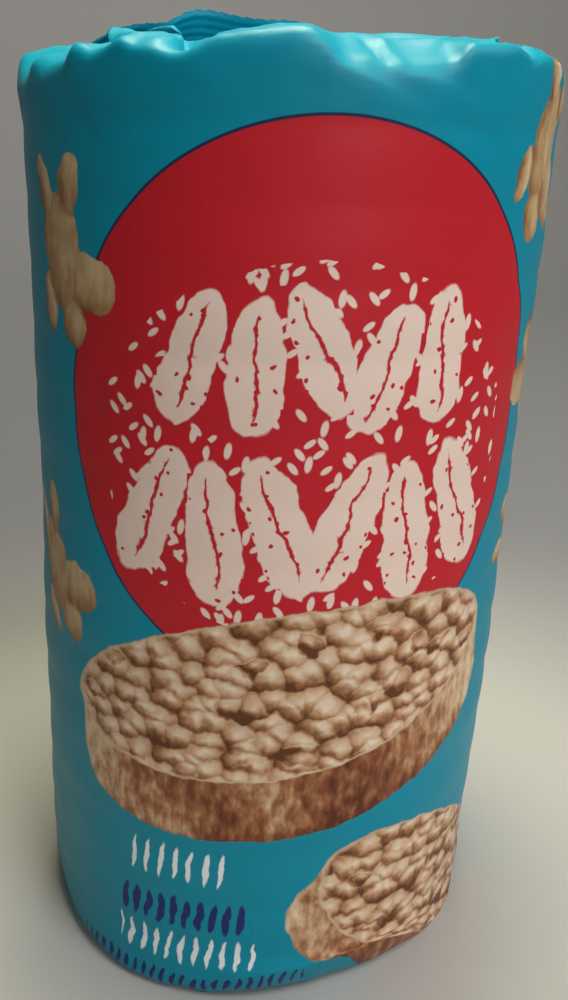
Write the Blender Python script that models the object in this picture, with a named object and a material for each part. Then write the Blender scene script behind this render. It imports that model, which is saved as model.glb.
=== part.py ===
"""Sealed film pack of round puffed cakes, standing upright on its folded end.

The pack is one closed solid: a round stack of cakes with the printed film drawn tight over it. Both ends
are folded over the stack like the ends of a paper roll. On the top end the crimped seam still stands up a
little, and on the bottom end it is pressed flat under the stack's own weight.
Metres, +Z up, the printed front faces -Y, and the origin is the middle of the flat base.
"""

import math

import bmesh
import bpy
from mathutils import Vector, noise

# Driving dimensions
CAKES = 15
CAKE_PITCH = 0.0111
RADIUS = 0.047
LEAN = 0.0256  # sideways run of the stack towards +X for each metre of height
TOP_TILT = 0.012  # rise of the top end towards +X
STACK_HEIGHT = CAKES * CAKE_PITCH

# The film over the stack
SHOULDER_ROUNDING = 0.0042
BASE_ROUNDING = 0.0035
CAKE_GROOVE = 0.00035  # the film dips this far between two cakes
WAIST = 0.0009  # the film pulls the middle of the stack in
DENT_DEPTH = 0.0004
BACK_SEAM_WIDTH = 0.012
BACK_SEAM_HEIGHT = 0.0006

# The large dent in the front shoulder: its middle, half width and size
SHOULDER_DENT_ANGLE = math.radians(10)
SHOULDER_DENT_HALF_WIDTH = math.radians(19)
SHOULDER_DENT_REACH = 0.0062
SHOULDER_DENT_DEPTH = 0.0040

# Top closure
SEAM_HALF_LENGTH = math.pi * RADIUS / 4  # half the width of the flattened tube, less its tucked sides
SEAM_OFFSET = -0.010
PANEL_RISE = 0.0022  # the front and back panels rise this far from the shoulder to the seam
TUCK_DEPTH = 0.0014  # the tucked sides lie this far below the panels
CRUMPLE = 0.0011
FIN_THICKNESS = 0.0012
FIN_HEIGHT = 0.0064
FIN_LEAN = 0.0035

# Base closure
BASE_RIM = 0.0065  # width of the flat ring that the pack stands on
BASE_PANEL_DEPTH = 0.0006
BASE_SEAM_WIDTH = 0.013

# Facets
SEGMENTS = 72
RINGS_PER_CAKE = 2
TOP_RINGS = 11
ARC_STEPS = 4
FIN_STATIONS = 24

FILM_COLOUR = (0.0, 0.155, 0.222, 1.0)
FILM_ROUGHNESS = 0.38


def smooth_step(start, end, value):
    """0 before start, 1 after end, with a smooth run between."""
    t = min(max((value - start) / (end - start), 0.0), 1.0)
    return t * t * (3 - 2 * t)


def bump(half_width, distance):
    """1 at distance 0, falling smoothly to 0 at half_width."""
    return 1.0 - smooth_step(0.0, half_width, abs(distance))


def turn_between(angle, middle):
    """The signed angle from middle to angle, the short way round."""
    return (angle - middle + math.pi) % (2 * math.pi) - math.pi


def at_angle(angle, radius):
    """A point at this radius; angle 0 faces -Y and grows towards +X."""
    return radius * math.sin(angle), -radius * math.cos(angle)


def side_offset(angle, height):
    """How far the film on the side stands off the plain cylinder."""
    phase = height / CAKE_PITCH
    groove = -CAKE_GROOVE * (1 - abs(math.sin(math.pi * phase)))
    waist = -WAIST * math.sin(math.pi * height / STACK_HEIGHT)
    x, y = at_angle(angle, RADIUS)
    dents = DENT_DEPTH * noise.noise(Vector((x, y, height)) * 38.0)
    across_seam = turn_between(angle, math.pi) * RADIUS
    seam = BACK_SEAM_HEIGHT * (1 - smooth_step(0.4 * BACK_SEAM_WIDTH, 0.6 * BACK_SEAM_WIDTH, abs(across_seam)))
    return groove + waist + dents + seam


def shoulder_dent(angle, depth_below_top):
    """How far the front shoulder is pushed in, deepest at its top edge."""
    across = bump(SHOULDER_DENT_HALF_WIDTH, turn_between(angle, SHOULDER_DENT_ANGLE))
    return SHOULDER_DENT_DEPTH * across * (1 - smooth_step(0.0, SHOULDER_DENT_REACH, depth_below_top))


def closure_height(x, y):
    """Height of the folded film above the stack: two panels that meet at the seam, over tucked sides."""
    radius = math.hypot(x, y)
    from_seam = abs(y - SEAM_OFFSET) / RADIUS
    panel_edge = SEAM_HALF_LENGTH * (1 - 0.12 * from_seam)
    panel = 1 - smooth_step(panel_edge - 0.0045, panel_edge + 0.0015, abs(x))
    rise = PANEL_RISE * max(0.0, 1 - from_seam) * panel
    tuck = -TUCK_DEPTH * (1 - panel)
    crumples = noise.cell(Vector((x, y, 0.3)) * 95.0) * 0.35 + noise.noise(Vector((x, y, 0.0)) * 120.0)
    inside = 1 - smooth_step(RADIUS - 2.2 * SHOULDER_ROUNDING, RADIUS - 0.6 * SHOULDER_ROUNDING, radius)
    return (rise + tuck + CRUMPLE * crumples) * inside


def side_rows():
    """(inset from the side, height) of each ring, from the base edge up to the top of the shoulder."""
    rows = []
    for step in range(ARC_STEPS + 1):
        turn = math.pi / 2 * step / ARC_STEPS
        rows.append((BASE_ROUNDING * (1 - math.sin(turn)), BASE_ROUNDING * (1 - math.cos(turn))))
    for ring in range(1, CAKES * RINGS_PER_CAKE):
        height = ring * CAKE_PITCH / RINGS_PER_CAKE
        if BASE_ROUNDING < height - 0.0005 and height + 0.0005 < STACK_HEIGHT - SHOULDER_ROUNDING:
            rows.append((0.0, height))
    for step in range(ARC_STEPS + 1):
        turn = math.pi / 2 * step / ARC_STEPS
        inset = SHOULDER_ROUNDING * (1 - math.cos(turn))
        rows.append((inset, STACK_HEIGHT - SHOULDER_ROUNDING * (1 - math.sin(turn))))
    return rows


def placed(x, y, z):
    """A point of the straight stack moved onto the leaning one."""
    rise = TOP_TILT * x * smooth_step(0.8 * STACK_HEIGHT, STACK_HEIGHT, z)
    return x + LEAN * z, y, z + rise


def side_ring(mesh, inset, height):
    """One ring of the side. The base edge stays flat and round, so that the pack stands."""
    ring = []
    hold = smooth_step(0.0, 2 * BASE_ROUNDING, height)
    for segment in range(SEGMENTS):
        angle = 2 * math.pi * segment / SEGMENTS
        radius = RADIUS - inset + hold * side_offset(angle, height)
        radius -= shoulder_dent(angle, STACK_HEIGHT - height)
        x, y = at_angle(angle, radius)
        ring.append(mesh.verts.new(placed(x, y, height)))
    return ring


def top_ring(mesh, outer, share):
    """One ring of the closure, at this share of the way from the shoulder to the middle."""
    ring = []
    for corner in outer:
        x = (corner.co.x - LEAN * STACK_HEIGHT) * (1 - share)
        y = corner.co.y * (1 - share)
        ring.append(mesh.verts.new(placed(x, y, STACK_HEIGHT + closure_height(x, y))))
    return ring


def join_rings(mesh, lower, upper):
    count = len(lower)
    for index in range(count):
        after = (index + 1) % count
        mesh.faces.new((lower[index], lower[after], upper[after], upper[index]))


def close_ring(mesh, ring, centre, facing_up):
    """A fan of triangles from the ring to a point in its middle."""
    middle = mesh.verts.new(centre)
    for index, vert in enumerate(ring):
        after = ring[(index + 1) % len(ring)]
        mesh.faces.new((vert, after, middle) if facing_up else (after, vert, middle))


def new_object(name, mesh):
    """An object holding this bmesh, linked to the scene."""
    data = bpy.data.meshes.new(name)
    mesh.to_mesh(data)
    mesh.free()
    made = bpy.data.objects.new(name, data)
    bpy.context.scene.collection.objects.link(made)
    return made


def wrapped_stack():
    """The film-covered stack with both ends closed, without the standing seam."""
    mesh = bmesh.new()
    rings = [side_ring(mesh, inset, height) for inset, height in side_rows()]
    close_ring(mesh, rings[0], (0.0, 0.0, 0.0), facing_up=False)
    shoulder = rings[-1]
    for ring in range(1, TOP_RINGS):
        rings.append(top_ring(mesh, shoulder, ring / TOP_RINGS))
    for lower, upper in zip(rings, rings[1:]):
        join_rings(mesh, lower, upper)
    middle = placed(0.0, 0.0, STACK_HEIGHT + closure_height(0.0, 0.0))
    close_ring(mesh, rings[-1], middle, facing_up=True)
    return new_object("pack", mesh)


def seam_height(x):
    """Height of the crimped seam above the closure: highest left of the middle, lying down at the right."""
    along = x / SEAM_HALF_LENGTH
    peak = bump(0.5, along + 0.42)
    ends = 1 - smooth_step(0.82, 1.0, abs(along))
    return FIN_HEIGHT * (0.42 + 0.58 * peak) * (0.35 + 0.65 * ends)


def standing_seam():
    """The crimped seam: a thin wavy plate across the top that leans towards the front."""
    mesh = bmesh.new()
    rows = []
    root = STACK_HEIGHT - 0.0015
    for station in range(FIN_STATIONS + 1):
        x = SEAM_HALF_LENGTH * (2 * station / FIN_STATIONS - 1)
        wave = 0.0011 * math.sin(x * 210.0) + 0.0016 * math.sin(x * 95.0 + 0.6)
        y = SEAM_OFFSET + wave
        top = STACK_HEIGHT + PANEL_RISE * 0.5 + seam_height(x)
        lean = FIN_LEAN * (0.5 + 0.5 * math.sin(x * 60.0 + 1.0))
        half = FIN_THICKNESS / 2
        section = ((y - half, root), (y + half, root), (y - lean + half, top), (y - lean - half, top))
        rows.append([mesh.verts.new(placed(x, across, height)) for across, height in section])
    for near, far in zip(rows, rows[1:]):
        for side in range(4):
            after = (side + 1) % 4
            mesh.faces.new((near[side], near[after], far[after], far[side]))
    mesh.faces.new(rows[0][::-1])
    mesh.faces.new(rows[-1])
    bmesh.ops.recalc_face_normals(mesh, faces=mesh.faces[:])
    return new_object("standing_seam", mesh)


def base_panel(side):
    """Cutter for one of the two shallow D-shaped panels in the base; side is -1 for the front, 1 for the back."""
    mesh = bmesh.new()
    radius = RADIUS - BASE_ROUNDING - BASE_RIM
    chord = BASE_SEAM_WIDTH / 2
    reach = math.acos(chord / radius)
    steps = 24
    outline = []
    for step in range(steps + 1):
        turn = reach * (2 * step / steps - 1)
        outline.append((radius * math.sin(turn), side * radius * math.cos(turn)))
    floor = [mesh.verts.new((x, y, -0.002)) for x, y in outline]
    face = mesh.faces.new(floor)
    raised = bmesh.ops.extrude_face_region(mesh, geom=[face])["geom"]
    corners = [item for item in raised if isinstance(item, bmesh.types.BMVert)]
    bmesh.ops.translate(mesh, verts=corners, vec=(0, 0, 0.002 + BASE_PANEL_DEPTH))
    bmesh.ops.recalc_face_normals(mesh, faces=mesh.faces[:])
    return new_object("base_panel_cutter", mesh)


def combine(target, helper, operation):
    """Adds a Boolean of the helper to the target, and hides the helper."""
    modifier = target.modifiers.new(helper.name, "BOOLEAN")
    modifier.operation = operation
    modifier.solver = "EXACT"
    modifier.object = helper
    helper.hide_render = True
    helper.display_type = "WIRE"


def printed_film():
    """Satin printed film."""
    material = bpy.data.materials.new("printed_film")
    material.use_nodes = True
    shader = material.node_tree.nodes["Principled BSDF"]
    shader.inputs["Base Color"].default_value = FILM_COLOUR
    shader.inputs["Roughness"].default_value = FILM_ROUGHNESS
    shader.inputs["Metallic"].default_value = 0.0
    return material


for item in list(bpy.data.objects):
    bpy.data.objects.remove(item, do_unlink=True)

pack = wrapped_stack()
combine(pack, standing_seam(), "UNION")
for side in (-1, 1):
    combine(pack, base_panel(side), "DIFFERENCE")
pack.data.materials.append(printed_film())
pack.data.shade_smooth()
pack.data.set_sharp_from_angle(angle=math.radians(35))
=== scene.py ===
"""Look of the sealed rice cake pack: printed film drawn over a round stack of cakes, sealed at both ends."""

import math
import random

import bmesh
import bpy
import numpy as np
from mathutils import Matrix, Vector, noise


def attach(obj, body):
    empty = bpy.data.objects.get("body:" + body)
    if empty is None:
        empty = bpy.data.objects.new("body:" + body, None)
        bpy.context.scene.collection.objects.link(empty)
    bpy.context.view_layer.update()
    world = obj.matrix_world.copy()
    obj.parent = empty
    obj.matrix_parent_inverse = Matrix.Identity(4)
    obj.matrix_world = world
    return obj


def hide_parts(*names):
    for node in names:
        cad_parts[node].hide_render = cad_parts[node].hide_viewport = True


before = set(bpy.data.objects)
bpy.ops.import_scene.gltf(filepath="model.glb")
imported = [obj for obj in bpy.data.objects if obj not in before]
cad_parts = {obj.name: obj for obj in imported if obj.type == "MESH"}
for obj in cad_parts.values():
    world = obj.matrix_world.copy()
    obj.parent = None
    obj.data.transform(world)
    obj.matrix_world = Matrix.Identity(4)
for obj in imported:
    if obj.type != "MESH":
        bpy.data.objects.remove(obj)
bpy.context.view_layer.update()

# ---------------------------------------------------------------------------------------------------------
# Camera: a phone held close in front of the pack, a little to its left and level with its upper half,
# looking down so that the whole front fills the upright picture.
EYE_FROM_AXIS = 0.1796
EYE_HEIGHT = 0.1483
EYE_BEARING = math.radians(-7.64)  # seen from above, 0 is straight in front and plus is to the pack's right
LOOK_DOWN = math.radians(19.32)
LOOK_ASIDE = math.radians(0.77)
CAMERA_ROLL = math.radians(1.30)
LENS_HEIGHT_RATIO = 0.9156  # focal length over the picture's height
LEAN = 0.0256  # the stack's sideways run for each metre of height
HALF_STACK = 0.0833

camera_data = bpy.data.cameras.new("camera")
camera_data.sensor_fit = "VERTICAL"
camera_data.sensor_height = 24.0
camera_data.lens = 24.0 * LENS_HEIGHT_RATIO
camera_data.clip_start = 0.01
camera = bpy.data.objects.new("camera", camera_data)
bpy.context.scene.collection.objects.link(camera)
towards_eye = Vector((math.sin(EYE_BEARING), -math.cos(EYE_BEARING), 0))
eye = Vector((LEAN * HALF_STACK, 0, 0)) + EYE_FROM_AXIS * towards_eye
eye.z = EYE_HEIGHT
turn = Matrix.Rotation(EYE_BEARING - LOOK_ASIDE, 4, "Z")
turn = turn @ Matrix.Rotation(math.radians(90) - LOOK_DOWN, 4, "X")
camera.matrix_world = Matrix.Translation(eye) @ turn @ Matrix.Rotation(CAMERA_ROLL, 4, "Z")
bpy.context.scene.camera = camera

# ---------------------------------------------------------------------------------------------------------
# Film wrap: one tube of printed polypropylene film, drawn tight round the stack and crimped shut across both
# ends. Its tucked sides and loose corners crumple as the ends are folded over the top and bottom cakes.
FILM_RADIUS = 0.047
SHOULDER = 0.1672  # height of the film where it turns over the top cake
COLUMNS = 144
FIN_ROWS = 6  # rings in the crimped seam
FREE_ROWS = 23  # rings between the shoulder and the seam
SIDE_ROWS = 84
ROW = SHOULDER / SIDE_ROWS
FREE_LENGTH = FREE_ROWS * ROW
FIRST_RING = -(FIN_ROWS + FREE_ROWS)
LAST_RING = SIDE_ROWS + FREE_ROWS + FIN_ROWS
SEAM_HALF_LENGTH = 0.0355
LAYER = 0.0002  # half the distance between two film layers in the seam
HALF_ROUND = math.pi * FILM_RADIUS / 2  # a quarter of the film's way round


def deselect():
    bpy.ops.object.select_all(action="DESELECT")


def put_in_order(mesh):
    """Rebuilds a mesh with its faces in a set order. Extruding leaves them in another order each time the script
    runs, and the cloth would fold a little differently."""
    faces = []
    for face in mesh.polygons:
        corners = list(face.vertices)
        first = corners.index(min(corners))
        faces.append(corners[first:] + corners[:first])
    ordered = bmesh.new()
    verts = [ordered.verts.new(vert.co) for vert in mesh.vertices]
    for corners in sorted(faces):
        ordered.faces.new([verts[corner] for corner in corners])
    ordered.to_mesh(mesh)
    ordered.free()


def film_tube(name, first_ring, last_ring, scale):
    """An open upright tube of film with one ring of corners for each row of the film."""
    deselect()
    middle = (first_ring + 0.5) * ROW * scale
    bpy.ops.mesh.primitive_cylinder_add(
        vertices=COLUMNS, radius=FILM_RADIUS * scale, depth=ROW * scale, end_fill_type="NOTHING",
        location=(0, 0, middle),
    )
    tube = bpy.context.object
    tube.name = name
    bpy.ops.object.transform_apply(location=True, rotation=True, scale=True)
    for vert in tube.data.vertices:
        vert.select = vert.co.z > middle
    for edge in tube.data.edges:
        edge.select = all(tube.data.vertices[i].co.z > middle for i in edge.vertices)
    for face in tube.data.polygons:
        face.select = False
    bpy.ops.object.mode_set(mode="EDIT")
    bpy.context.tool_settings.mesh_select_mode = (False, True, False)
    for _ in range(last_ring - first_ring - 1):
        bpy.ops.mesh.extrude_region_move(TRANSFORM_OT_translate={"value": (0, 0, ROW * scale)})
    bpy.ops.object.mode_set(mode="OBJECT")
    return tube


def read_points(mesh):
    points = np.empty(len(mesh.vertices) * 3)
    mesh.vertices.foreach_get("co", points)
    return points.reshape(-1, 3)


def grid_places(points, scale=1.0):
    """Each corner's ring and column in the flat film; column 0 is the middle of the front."""
    ring = np.rint(points[:, 2] / (ROW * scale)).astype(int)
    angle = np.arctan2(points[:, 0], -points[:, 1])
    column = np.rint(angle / (2 * math.pi / COLUMNS)).astype(int) % COLUMNS
    return ring, column


def seam_places(column, above_root):
    """Where the film lies in the crimped seam: x along it, its layer, and the distance up from its root."""
    arc = (column / COLUMNS * 2 * math.pi + math.pi) % (2 * math.pi) - math.pi
    arc = arc * FILM_RADIUS
    front = np.abs(arc) <= HALF_ROUND
    across = np.where(front, arc, np.sign(arc) * (2 * HALF_ROUND - np.abs(arc)))
    tucked = np.abs(across) > SEAM_HALF_LENGTH
    x = np.where(tucked, np.sign(across) * (2 * SEAM_HALF_LENGTH - np.abs(across)), across)
    layer = np.where(front, -1, 1) * np.where(tucked, 0.5, 1.5) * LAYER
    return x, layer, above_root


# The seam stands up left of the middle, where its corner was caught, and lies down towards both its ends:
# place along the seam in mm, and its lean towards the front in degrees.
SEAM_LEAN = (
    (-36, 80), (-32.5, 68), (-29, 58), (-25, 53), (-22, 53), (-19.5, 36), (-16, 29), (-13, 33), (-10, 38),
    (-6, 42), (-2, 42), (1, 46), (4, 62), (8, 75), (14, 83), (36, 89),
)
SEAM_ROOT = 0.1642  # height of the seam's lower edge where it meets the free film
SIM_SCALE = 20.0  # the solver's limits suit large scenes
CLOSE_FRAMES = 40
SETTLE_FRAMES = 20
CLOSING_FIRST_RING = SIDE_ROWS - 8
HELD_RINGS = 3  # the lowest rings of the closing film, held by the tight film below them
STACK_GAP = 0.0004  # between the film and what it lies on
LAYER_GAP = 0.0005  # between one fold of the film and the next
SWELL = 0.0004  # how far the free film is out of round before it is closed


def closed_seam_points(column, above_root):
    """The crimped seam's final place for the film at these columns and distances above the seam's root."""
    x, layer, up = seam_places(column, above_root)
    places, angles = np.array(SEAM_LEAN).T
    lean = np.radians(np.interp(x * 1000, places, angles))
    # the seam waves to and fro by about a mm, and up and down by half as much
    wave = 0.0012 * np.sin(x * 150 + 0.5) + 0.0005 * np.sin(x * 420)
    y = wave + layer - up * np.sin(lean)
    z = SEAM_ROOT + 0.0006 * np.sin(x * 130) + up * np.cos(lean)
    return np.stack([x, y, z], axis=1)


def stack_top():
    """The top cakes under the film, with a hollow in the middle of the upper one."""
    deselect()
    radius = FILM_RADIUS - 0.0006
    depth = 0.03
    middle = SHOULDER - STACK_GAP - depth / 2
    bpy.ops.mesh.primitive_cylinder_add(
        vertices=96, radius=radius * SIM_SCALE, depth=depth * SIM_SCALE, location=(0, 0, middle * SIM_SCALE)
    )
    stack = bpy.context.object
    bpy.ops.object.transform_apply(location=True, rotation=True, scale=True)
    bpy.ops.object.mode_set(mode="EDIT")
    bpy.ops.mesh.select_all(action="DESELECT")
    bpy.ops.object.mode_set(mode="OBJECT")
    for face in stack.data.polygons:
        face.select = face.normal.z > 0.9
    bpy.ops.object.mode_set(mode="EDIT")
    bpy.context.tool_settings.mesh_select_mode = (False, False, True)
    bpy.ops.mesh.inset(thickness=0.009 * SIM_SCALE)
    bpy.ops.mesh.inset(thickness=0.008 * SIM_SCALE, depth=-0.0035 * SIM_SCALE)
    bpy.ops.object.mode_set(mode="OBJECT")
    rounding = stack.modifiers.new("rounding", "BEVEL")
    rounding.width = 0.003 * SIM_SCALE
    rounding.segments = 4
    rounding.limit_method = "ANGLE"
    bpy.ops.object.modifier_apply(modifier="rounding")
    stack.modifiers.new("collision", "COLLISION")
    stack.collision.thickness_outer = STACK_GAP * SIM_SCALE
    stack.collision.cloth_friction = 5
    return stack


def close_film_end():
    """Folds the open end of the film over the stack as the sealing jaws do, and returns its points by ring
    and column. The seam is carried to its place, and the film between it and the shoulder crumples freely."""
    tube = film_tube("closing_film", CLOSING_FIRST_RING, LAST_RING, SIM_SCALE)
    put_in_order(tube.data)
    points = read_points(tube.data)
    ring, column = grid_places(points, SIM_SCALE)
    above_root = (ring - SIDE_ROWS - FREE_ROWS) * ROW
    in_seam = above_root > -0.5 * ROW
    angle = column / COLUMNS * 2 * math.pi
    free = ring > SIDE_ROWS
    uneven = np.random.RandomState(21).rand(6, 2)
    for wave, (phase, pitch) in enumerate(uneven):
        turns = angle * (2 + 2 * wave) + phase * 6 + ring * ROW * 120 * (0.5 + pitch)
        swell = np.sin(turns) * SWELL * SIM_SCALE * free
        points[:, 0] += swell * np.sin(angle)
        points[:, 1] -= swell * np.cos(angle)
    tube.data.vertices.foreach_set("co", points.ravel())
    tube.shape_key_add(name="open")
    closed = tube.shape_key_add(name="closed")
    target = points.copy()
    target[in_seam] = closed_seam_points(column[in_seam], above_root[in_seam]) * SIM_SCALE
    closed.data.foreach_set("co", target.ravel())
    closed.value = 0.0
    closed.keyframe_insert("value", frame=1)
    closed.value = 1.0
    closed.keyframe_insert("value", frame=CLOSE_FRAMES)
    held = tube.vertex_groups.new(name="held")
    fast = np.flatnonzero(in_seam | (ring < CLOSING_FIRST_RING + HELD_RINGS))
    held.add([int(i) for i in fast], 1.0, "REPLACE")
    stack = stack_top()
    cloth = tube.modifiers.new("film", "CLOTH")
    film = cloth.settings
    film.quality = 8
    film.mass = 0.15
    film.air_damping = 3
    film.tension_stiffness = 120
    film.compression_stiffness = 120
    film.shear_stiffness = 60
    film.bending_stiffness = 1.5
    film.tension_damping = 10
    film.compression_damping = 10
    film.shear_damping = 10
    film.bending_damping = 1
    film.vertex_group_mass = "held"
    contact = cloth.collision_settings
    contact.distance_min = STACK_GAP * SIM_SCALE
    contact.collision_quality = 3
    contact.use_self_collision = True
    contact.self_distance_min = LAYER_GAP * SIM_SCALE
    contact.self_friction = 5
    last = CLOSE_FRAMES + SETTLE_FRAMES
    cloth.point_cache.frame_start = 1
    cloth.point_cache.frame_end = last
    for step in range(1, last + 1):
        bpy.context.scene.frame_set(step)
    settled = tube.evaluated_get(bpy.context.evaluated_depsgraph_get())
    found = read_points(settled.to_mesh()) / SIM_SCALE
    grid = np.empty((LAST_RING - CLOSING_FIRST_RING + 1, COLUMNS, 3))
    grid[ring - CLOSING_FIRST_RING, column] = found
    tube.animation_data_clear()
    tube.data.shape_keys.animation_data_clear()
    bpy.data.objects.remove(tube, do_unlink=True)
    bpy.data.objects.remove(stack, do_unlink=True)
    bpy.context.scene.frame_set(1)
    return grid


top_end = close_film_end()

film = film_tube("film_wrap", FIRST_RING, LAST_RING, 1.0)
flat_points = read_points(film.data)
ring, column = grid_places(flat_points)

# Two maps on the flat film: its true size in mm from the middle of the front and the base, which the print
# follows, and the whole film laid out in one square for the bake.
PRINT_MAP = "print_mm"
WHOLE_ROUND = 2 * math.pi * FILM_RADIUS * 1000
WHOLE_HEIGHT = (LAST_RING - FIRST_RING) * ROW * 1000
print_map = film.data.uv_layers.new(name=PRINT_MAP)
bake_map = film.data.uv_layers.new(name="OFBake")
corner_arc = ((column + COLUMNS // 2) % COLUMNS - COLUMNS // 2) / COLUMNS * WHOLE_ROUND
corner_height = ring * ROW * 1000
for face in film.data.polygons:
    arcs = [corner_arc[film.data.loops[loop].vertex_index] for loop in face.loop_indices]
    over_the_back = max(arcs) - min(arcs) > WHOLE_ROUND / 2
    for loop, arc in zip(face.loop_indices, arcs):
        if over_the_back and arc < 0:
            arc += WHOLE_ROUND
        height = corner_height[film.data.loops[loop].vertex_index]
        print_map.data[loop].uv = (arc, height)
        share = (height - FIRST_RING * ROW * 1000) / WHOLE_HEIGHT
        bake_map.data[loop].uv = (0.01 + 0.98 * (arc / WHOLE_ROUND + 0.5), 0.005 + 0.99 * share)

# The film takes its folded place: the closing above, the same closing turned over below.
turned_over = top_end * np.array([1, -1, -1]) + np.array([0, 0, SHOULDER])
points = flat_points.copy()
high = ring >= CLOSING_FIRST_RING
low = ring <= SIDE_ROWS - CLOSING_FIRST_RING
points[high] = top_end[ring[high] - CLOSING_FIRST_RING, column[high]]
points[low] = turned_over[SIDE_ROWS - ring[low] - CLOSING_FIRST_RING, (COLUMNS // 2 - column[low]) % COLUMNS]
film.data.vertices.foreach_set("co", points.ravel())
deselect()
film.select_set(True)
bpy.context.view_layer.objects.active = film
smoothing = film.modifiers.new("smoothing", "SUBSURF")
smoothing.levels = 1
smoothing.render_levels = 1
smoothing.uv_smooth = "NONE"
bpy.ops.object.modifier_apply(modifier="smoothing")

# From here on the film is worked on as a fine grid: one row and one column of corners for each millimetre.
FINE_COLUMNS = 2 * COLUMNS
FINE_ROWS = 2 * (LAST_RING - FIRST_RING) + 1
corner_maps = np.empty(len(film.data.loops) * 2)
film.data.uv_layers[PRINT_MAP].data.foreach_get("uv", corner_maps)
corner_verts = np.empty(len(film.data.loops), dtype=int)
film.data.loops.foreach_get("vertex_index", corner_verts)
places_mm = np.empty((len(film.data.vertices), 2))
places_mm[corner_verts] = corner_maps.reshape(-1, 2)
fine_column = np.rint(places_mm[:, 0] / WHOLE_ROUND * FINE_COLUMNS).astype(int) % FINE_COLUMNS
fine_row = np.rint((places_mm[:, 1] / 1000 / ROW - FIRST_RING) * 2).astype(int)
grid = np.empty((FINE_ROWS, FINE_COLUMNS, 3))
grid[fine_row, fine_column] = read_points(film.data)
ALONG = (np.arange(FINE_ROWS) / 2 + FIRST_RING) * ROW  # film height of each row
BEARING = (np.arange(FINE_COLUMNS) / FINE_COLUMNS * 2 * math.pi + math.pi) % (2 * math.pi) - math.pi
FOLD_ROWS = (ALONG > SHOULDER / 2) & (ALONG < SHOULDER + FREE_LENGTH - ROW / 4)

# How the film is pulled straight across the shoulder in flat facets between its folds: bearing in degrees
# from the middle of the front; then in mm how far below the shoulder a facet starts, how far in over the top
# it ends, and how high its inner end stands over the shoulder.
FACETS = (
    (-180, 2, 3, 0.3), (-150, 1, 2, 0.4), (-120, 2.5, 4, 0.3), (-100, 1, 2, 0.4), (-94, 0.8, 1.8, 0.8),
    (-88, 0.5, 2.4, 1.0), (-84, 1.0, 3.4, 0.9), (-79, 3.2, 5.2, 0.4), (-72, 4.4, 5.8, 0),
    (-66, 2.8, 3.8, -1.0), (-62, 4.2, 4.8, -1.5), (-54, 3.6, 6, -2.2), (-50, 1.6, 8, -2.0),
    (-46, 2.8, 8, -0.9), (-42, 2.2, 6, -0.1), (-39.5, 1.2, 5.5, -0.2), (-36, 2.4, 5.5, -0.4),
    (-32, 2.6, 6.2, -0.1), (-29, 3.2, 8, -1.0), (-26, 3.0, 16, -2.4), (-23, 2.0, 13, -1.2),
    (-20, 1.2, 8, -0.3), (-16, 1.0, 4, -0.1), (-12, 0.7, 3, 0.2), (-8, 0.6, 2.4, 0.5), (-5, 1, 2.4, 0.6),
    (-2, 2.6, 5, 0.3), (1, 3.9, 7.4, 0.2), (6, 4.6, 8.4, 0.5), (13, 5, 9, 0.7), (20, 4.2, 8.4, 0.6),
    (22.5, 2.6, 9, 0.7), (25, 0.6, 12, 1.0), (30, 0.3, 15, 1.5), (36, 0.4, 16, 1.6), (40, 1.4, 14, 1.4),
    (44, 1.8, 6, 1.0), (48, 0.6, 1.8, 0), (58, 0.8, 4.2, 0.9), (66, 1.3, 4.4, 1.6), (80, 1.4, 4, 1.4),
    (100, 1, 2, 0.3), (130, 3, 4, 0.4), (155, 1, 2, 0.3), (180, 2, 3, 0.3),
)
PRESSED = 0.45  # how much of the crumples' height is left after the end was pressed down
FACET_FADE = 0.011  # a facet's lift dies out over this much film behind it
FACET_HOLLOW = 0.035  # how far a facet sags, as a share of its reach over the top
BEND_REACH = 0.0045  # the film bends softly into a deep facet over this much on either side of its lower edge
DEEP_FACET = 0.004
BEND_WEIGHTS = np.hanning(13)[1:-1] / np.hanning(13).sum()


def pull_facets(grid):
    """Presses the crumpled end down, and pulls its film straight across the shoulder, column by column."""
    height = grid[:, :, 2]
    pressed = np.where(height > SHOULDER, SHOULDER + (height - SHOULDER) * PRESSED, height)
    grid[FOLD_ROWS, :, 2] = pressed[FOLD_ROWS]
    bearings, drops, reaches, lifts = np.array(FACETS).T
    for column in range(FINE_COLUMNS):
        bearing = BEARING[column]
        start, end, lift = (
            np.interp(math.degrees(bearing), bearings, values) / 1000 for values in (-drops, reaches, lifts)
        )
        start, end = SHOULDER + start, SHOULDER + end
        line = grid[:, column].copy()
        first = np.array([np.interp(start, ALONG, line[:, axis]) for axis in range(3)])
        last = np.array([np.interp(end, ALONG, line[:, axis]) for axis in range(3)])
        raised = SHOULDER + lift - last[2]
        last[2] = SHOULDER + lift
        behind = (ALONG >= end) & FOLD_ROWS
        fade = np.clip(1 - (ALONG[behind] - end) / FACET_FADE, 0, 1)
        grid[behind, column, 2] += raised * fade * fade * (3 - 2 * fade)
        between = (ALONG > start) & (ALONG < end)
        share = ((ALONG[between] - start) / (end - start))[:, None]
        outward = np.array([math.sin(bearing), -math.cos(bearing), 1.0]) * 0.7  # out and up at 45 degrees
        hollow = np.sin(math.pi * share) * FACET_HOLLOW * (end - SHOULDER)
        grid[between, column] = first * (1 - share) + last * share - hollow * outward
        bend = np.exp(-(((ALONG - start) / BEND_REACH) ** 2)) * np.clip((SHOULDER - start) / DEEP_FACET, 0, 1)
        bend *= ALONG > SHOULDER / 2
        for axis in range(3):
            line = grid[:, column, axis]
            grid[:, column, axis] += bend * (np.convolve(line, BEND_WEIGHTS, mode="same") - line)


pull_facets(grid)

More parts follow.
